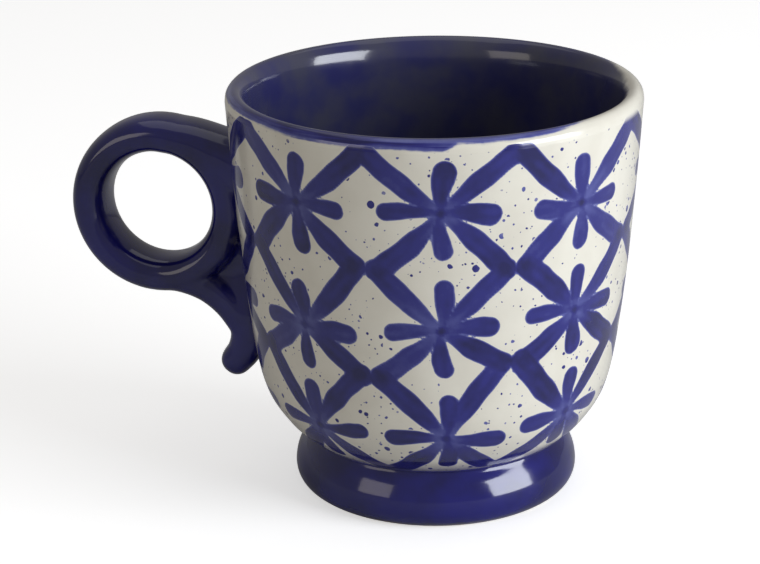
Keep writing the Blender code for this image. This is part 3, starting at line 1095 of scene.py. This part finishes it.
def make_softbox(name, front, place, power, colour):
    """A rectangular light that faces the mug, placed from the camera's azimuth."""
    azimuth, elevation, distance, size = place
    light = bpy.data.lights.new(name, "AREA")
    light.shape = "RECTANGLE"
    light.size, light.size_y = size
    light.energy = power
    light.color = colour
    lamp = bpy.data.objects.new(name, light)
    bpy.context.scene.collection.objects.link(lamp)
    aim = Vector((AXIS_X, 0.0, TOTAL_HEIGHT / 2))
    away = direction(front + math.radians(azimuth), math.radians(elevation))
    lamp.location = aim + away * distance
    lamp.rotation_euler = away.to_track_quat("Z", "Y").to_euler()


def make_world(stage):
    world = bpy.data.worlds.new("studio")
    world.use_nodes = True
    sky = world.node_tree.nodes["Background"]
    sky.inputs["Color"].default_value = (*stage.room_colour, 1.0)
    sky.inputs["Strength"].default_value = stage.room_light
    bpy.context.scene.world = world
    bpy.context.scene.view_settings.view_transform = "Standard"


def make_camera(stage):
    data = bpy.data.cameras.new("camera")
    data.lens = stage.lens
    data.sensor_width = 36.0
    data.clip_start = 0.01
    camera = bpy.data.objects.new("camera", data)
    bpy.context.scene.collection.objects.link(camera)
    away = direction(stage.view_azimuth, stage.view_elevation)
    middle = Vector((AXIS_X, 0.0, TOTAL_HEIGHT / 2))
    camera.location = middle + away * stage.view_distance
    right = Vector((math.cos(stage.view_azimuth), math.sin(stage.view_azimuth), 0.0))
    aim = middle + right * stage.aim_right + Vector((0.0, 0.0, stage.aim_up))
    look = (camera.location - aim).normalized()
    turn = look.to_track_quat("Z", "Y").to_matrix().to_4x4()
    camera.rotation_euler = (turn @ Matrix.Rotation(stage.view_roll, 4, "Z")).to_euler()
    bpy.context.scene.camera = camera


# Settings


def a_length(name, description, default):
    return FloatProperty(name=name, description=description, default=default, unit="LENGTH")


def an_angle(name, description, degrees):
    turn = math.radians(degrees)
    return FloatProperty(name=name, description=description, default=turn, subtype="ANGLE")


def a_number(name, description, default):
    return FloatProperty(name=name, description=description, default=default, min=0.0)


def a_count(name, description, default, least):
    return IntProperty(name=name, description=description, default=default, min=least)


def a_colour(name, description, default):
    return FloatVectorProperty(
        name=name,
        description=description,
        default=default,
        size=3,
        subtype="COLOR",
    )


class MugShape(bpy.types.PropertyGroup):
    wall_turns: a_count("Wall turns", "Steps about the axis on the painted wall", 512, 64)
    turns: a_count("Turns", "Steps about the axis on the other turned pieces", 256, 64)
    wall_grain: a_length("Wall grain", "Height of one row of the painted wall", 0.54 * MM)
    clay_grain: a_length("Clay grain", "Voxel size that fuses the handle", 0.42 * MM)
    smoothing: a_count("Smoothing", "How often the handle's skin is smoothed", 34, 0)


class MugPaint(bpy.types.PropertyGroup):
    seed: a_count("Seed", "Changes the hand of the painter", 7, 0)
    upright_petal: a_length("Upright petal", "Length of the petals that point up and down", 12.0 * MM)
    level_petal: a_length("Level petal", "Length of the petals that point sideways", 13.8 * MM)
    petal_width: a_length("Petal width", "Greatest width of a petal", 4.9 * MM)
    lattice_width: a_length("Lattice width", "Greatest width of a lattice stroke", 5.5 * MM)
    spatter: a_number("Spatter", "How many flecks the brush left", 1.0)


class MugColours(bpy.types.PropertyGroup):
    white: a_colour("White glaze", "The wall's glaze", (0.76, 0.730, 0.640))
    white_thin: a_colour("Thin white", "The wall's glaze where it is thin", (0.70, 0.667, 0.578))
    wash: a_colour("Pigment wash", "Thin cobalt pigment under the glaze", (0.11, 0.125, 0.36))
    brushed: a_colour("Pigment", "Cobalt pigment under the glaze", (0.020, 0.021, 0.185))
    pooled: a_colour("Pooled pigment", "Thick pigment under the glaze", (0.010, 0.010, 0.088))
    cobalt: a_colour("Cobalt glaze", "Cobalt glaze where it pools", (0.007, 0.007, 0.072))
    cobalt_bright: a_colour("Bright cobalt", "Cobalt glaze where it breaks", (0.011, 0.011, 0.150))
    # The pooled lining is the glaze's dark blue, greyed by a painted reflection of the room's light on
    # the inside
    lining_with_painted_reflection: a_colour("Lining", "The lining where it pools", (0.054, 0.055, 0.092))
    lining_bright: a_colour("Bright lining", "The lining where it is thin", (0.026, 0.027, 0.112))
    clay: a_colour("Clay", "Bare fired clay", (0.52, 0.45, 0.36))
    clay_grit: a_colour("Clay grit", "Darker grit in the clay", (0.40, 0.33, 0.25))


class MugStage(bpy.types.PropertyGroup):
    view_azimuth: an_angle("View azimuth", "Turn of the camera from the front towards +X", 12.0)
    view_elevation: an_angle("View elevation", "Height of the camera above the horizon", 19.39)
    view_roll: an_angle("View roll", "Lean of the camera", -0.73)
    view_distance: a_length("View distance", "From the camera to the middle of the mug", 0.600)
    lens: a_number("Lens", "Focal length in millimetres", 117.2)
    aim_right: a_length("Aim right", "How far right of the axis the camera aims", -13.3 * MM)
    aim_up: a_length("Aim up", "How far above mid height the camera aims", 0.4 * MM)
    floor_radius: a_length("Floor radius", "Size of the floor", 6.0)
    floor_colour: a_colour("Floor", "Colour of the floor", (0.86, 0.86, 0.86))
    floor_bounce: a_colour("Floor bounce", "Colour of the floor as the mug sees it", (0.55, 0.55, 0.55))
    floor_lift: a_number("Floor lift", "Light added to the floor as the camera sees it", 0.62)
    room_colour: a_colour("Room", "Colour of the room's light", (1.0, 0.972, 0.94))
    room_light: a_number("Room light", "Strength of the room's light", 0.27)
    key_power: a_number("Key power", "Power of the softbox on the right", 10.8)
    key_colour: a_colour("Key colour", "Colour of the softbox on the right", (0.92, 0.955, 1.0))
    fill_power: a_number("Fill power", "Power of the softbox on the left", 0.9)
    fill_colour: a_colour("Fill colour", "Colour of the softbox on the left", (1.0, 0.92, 0.80))
    top_power: a_number("Top power", "Power of the softbox overhead", 2.2)
    top_colour: a_colour("Top colour", "Colour of the softbox overhead", (1.0, 1.0, 1.0))


SETTINGS = {
    "mug_shape": MugShape,
    "mug_paint": MugPaint,
    "mug_colours": MugColours,
    "mug_stage": MugStage,
}


# Operators


class MUG_OT_bowl(bpy.types.Operator):
    """Turn the bowl and paint its wall"""

    bl_idname = "mug.bowl"
    bl_label = "Bowl"

    def execute(self, context):
        scene = context.scene
        make_bowl(scene.mug_shape, scene.mug_paint, scene.mug_colours)
        return {"FINISHED"}


class MUG_OT_liner(bpy.types.Operator):
    """Line the bowl with cobalt glaze that runs over the lip"""

    bl_idname = "mug.liner"
    bl_label = "Lining"

    def execute(self, context):
        make_liner(context.scene.mug_shape, context.scene.mug_paint, context.scene.mug_colours)
        return {"FINISHED"}


class MUG_OT_foot(bpy.types.Operator):
    """Turn the pedestal foot and the bead of slip above it"""

    bl_idname = "mug.foot"
    bl_label = "Foot"

    def execute(self, context):
        make_foot(context.scene.mug_shape, context.scene.mug_colours)
        make_foot_seam(context.scene.mug_shape, context.scene.mug_colours)
        return {"FINISHED"}


class MUG_OT_handle(bpy.types.Operator):
    """Roll and fuse the ring handle with its curled tail, and lute it to the wall"""

    bl_idname = "mug.handle"
    bl_label = "Handle"

    def execute(self, context):
        colours = context.scene.mug_colours
        make_handle(context.scene.mug_shape, colours)
        material = slip_glaze(colours)
        make_handle_seam("handle_upper_slip", UPPER_SEAM, material, "handle_upper_slip_joint")
        make_handle_seam("handle_lower_slip", LOWER_SEAM, material, "handle_lower_slip_joint")
        return {"FINISHED"}


class MUG_OT_stage(bpy.types.Operator):
    """Set the floor, the soft lights and the camera"""

    bl_idname = "mug.stage"
    bl_label = "Stage"

    def execute(self, context):
        stage = context.scene.mug_stage
        make_floor(stage)
        make_world(stage)
        front = stage.view_azimuth
        make_softbox("key", front, KEY_PLACE, stage.key_power, stage.key_colour)
        make_softbox("fill", front, FILL_PLACE, stage.fill_power, stage.fill_colour)
        make_softbox("top", front, TOP_PLACE, stage.top_power, stage.top_colour)
        make_camera(stage)
        return {"FINISHED"}


OPERATORS = (MUG_OT_bowl, MUG_OT_liner, MUG_OT_foot, MUG_OT_handle, MUG_OT_stage)


class MUG_PT_panel(bpy.types.Panel):
    bl_idname = "MUG_PT_panel"
    bl_label = "Stoneware Mug"
    bl_space_type = "VIEW_3D"
    bl_region_type = "UI"
    bl_category = "Mug"

    def draw(self, context):
        for operator in OPERATORS:
            self.layout.operator(operator.bl_idname)
        for name, group in SETTINGS.items():
            box = self.layout.box()
            for label in group.__annotations__:
                box.prop(getattr(context.scene, name), label)


def register():
    for group in SETTINGS.values():
        bpy.utils.register_class(group)
    for name, group in SETTINGS.items():
        setattr(bpy.types.Scene, name, PointerProperty(type=group))
    for operator in OPERATORS:
        bpy.utils.register_class(operator)
    bpy.utils.register_class(MUG_PT_panel)


def unregister():
    bpy.utils.unregister_class(MUG_PT_panel)
    for operator in reversed(OPERATORS):
        bpy.utils.unregister_class(operator)
    for name, group in SETTINGS.items():
        delattr(bpy.types.Scene, name)
        bpy.utils.unregister_class(group)


def main():
    register()
    bpy.ops.mug.bowl()
    bpy.ops.mug.liner()
    bpy.ops.mug.foot()
    bpy.ops.mug.handle()
    bpy.ops.mug.stage()
    bpy.context.view_layer.update()


if __name__ == "__main__":
    main()
